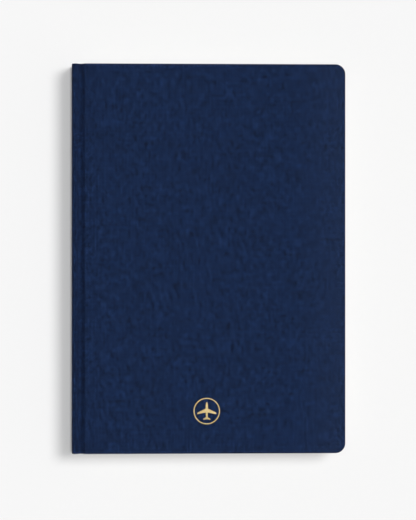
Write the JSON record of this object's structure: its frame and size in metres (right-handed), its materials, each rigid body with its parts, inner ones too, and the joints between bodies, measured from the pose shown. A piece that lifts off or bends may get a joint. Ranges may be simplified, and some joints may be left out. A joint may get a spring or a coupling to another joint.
{
  "type": "pilot logbook",
  "caption": "Case-bound pilot logbook with navy cloth covers, a small gold foil aeroplane emblem, sewn sections, and covers that open with the first leaves fanning after the front one.",
  "frame": {"origin": "on the surface that the closed book lies on, under the middle of its case", "axes": "+X from the spine to the fore edge, +Y from the tail to the head, +Z out of the front cover"},
  "size_m": [0.151, 0.215, 0.017],
  "materials": {
    "book_cloth": "navy plain-weave book cloth",
    "greyboard": "pressed grey binder's board",
    "gold_foil": "hot-stamped gold foil",
    "endpaper": "heavy off-white endpaper",
    "page_paper": "uncoated writing paper, ruled",
    "mull_gauze": "open-weave mull",
    "kraft_lining": "kraft paper",
    "binding_glue": "dried flexible adhesive",
    "sewing_thread": "linen thread",
    "band_silk": "navy and white striped head band"
  },
  "bodies": {
    "text_block": {"spine_cloth": "book_cloth", "spine_board": "greyboard", "spine_lining": "kraft_lining", "spine_mull": "mull_gauze", "spine_glue": "binding_glue", "sewing_thread": "sewing_thread", "headband": "band_silk", "tailband": "band_silk", "back_flyleaf": "endpaper", "section_01": "page_paper", "section_02": "page_paper", "section_03": "page_paper", "section_04": "page_paper", "section_05": "page_paper", "section_06": "page_paper", "section_07": "page_paper", "section_08": "page_paper", "section_09": "page_paper", "section_10": "page_paper", "section_11": "page_paper", "section_12": "page_paper"},
    "leaves_2_to_4": {"section_01_leaves_2_to_4": "page_paper"},
    "leaf_1": {"section_01_leaf_1": "page_paper"},
    "front_flyleaf": {"front_flyleaf": "endpaper"},
    "front_cover": {"front_cover_cloth": "book_cloth", "front_board": "greyboard", "front_mull_flap": "mull_gauze", "front_pastedown": "endpaper", "cover_emblem": "gold_foil", "front_joint_cloth": "book_cloth", "front_endpaper_joint": "endpaper"},
    "back_cover": {"back_cover_cloth": "book_cloth", "back_board": "greyboard", "back_mull_flap": "mull_gauze", "back_pastedown": "endpaper", "back_joint_cloth": "book_cloth", "back_endpaper_joint": "endpaper"}
  },
  "joints": [
    {"name": "front_cover_hinge", "type": "hinge", "parent": "text_block", "child": "front_cover", "pos_m": [-0.07232, 0, 0.0155], "axis": [0, -1, 0], "range_deg": [0, 179.99], "deforming": ["front_joint_cloth", "front_endpaper_joint"]},
    {"name": "front_flyleaf_turn", "type": "hinge", "parent": "text_block", "child": "front_flyleaf", "pos_m": [-0.07232, 0, 0.0155], "axis": [0, -1, 0], "range_deg": [0, 108]},
    {"name": "leaf_1_turn", "type": "hinge", "parent": "text_block", "child": "leaf_1", "pos_m": [-0.07232, 0, 0.0155], "axis": [0, -1, 0], "range_deg": [0, 72]},
    {"name": "leaves_2_to_4_turn", "type": "hinge", "parent": "text_block", "child": "leaves_2_to_4", "pos_m": [-0.07232, 0, 0.0155], "axis": [0, -1, 0], "range_deg": [0, 36]},
    {"name": "back_cover_hinge", "type": "hinge", "parent": "text_block", "child": "back_cover", "pos_m": [-0.07232, 0, 0.0015], "axis": [0, 1, 0], "range_deg": [0, 179.99], "deforming": ["back_joint_cloth", "back_endpaper_joint"]}
  ],
  "couplings": [
    {"joint": "front_flyleaf_turn", "follows": "front_cover_hinge", "ratio": 0.6},
    {"joint": "leaf_1_turn", "follows": "front_cover_hinge", "ratio": 0.4},
    {"joint": "leaves_2_to_4_turn", "follows": "front_cover_hinge", "ratio": 0.2}
  ]
}
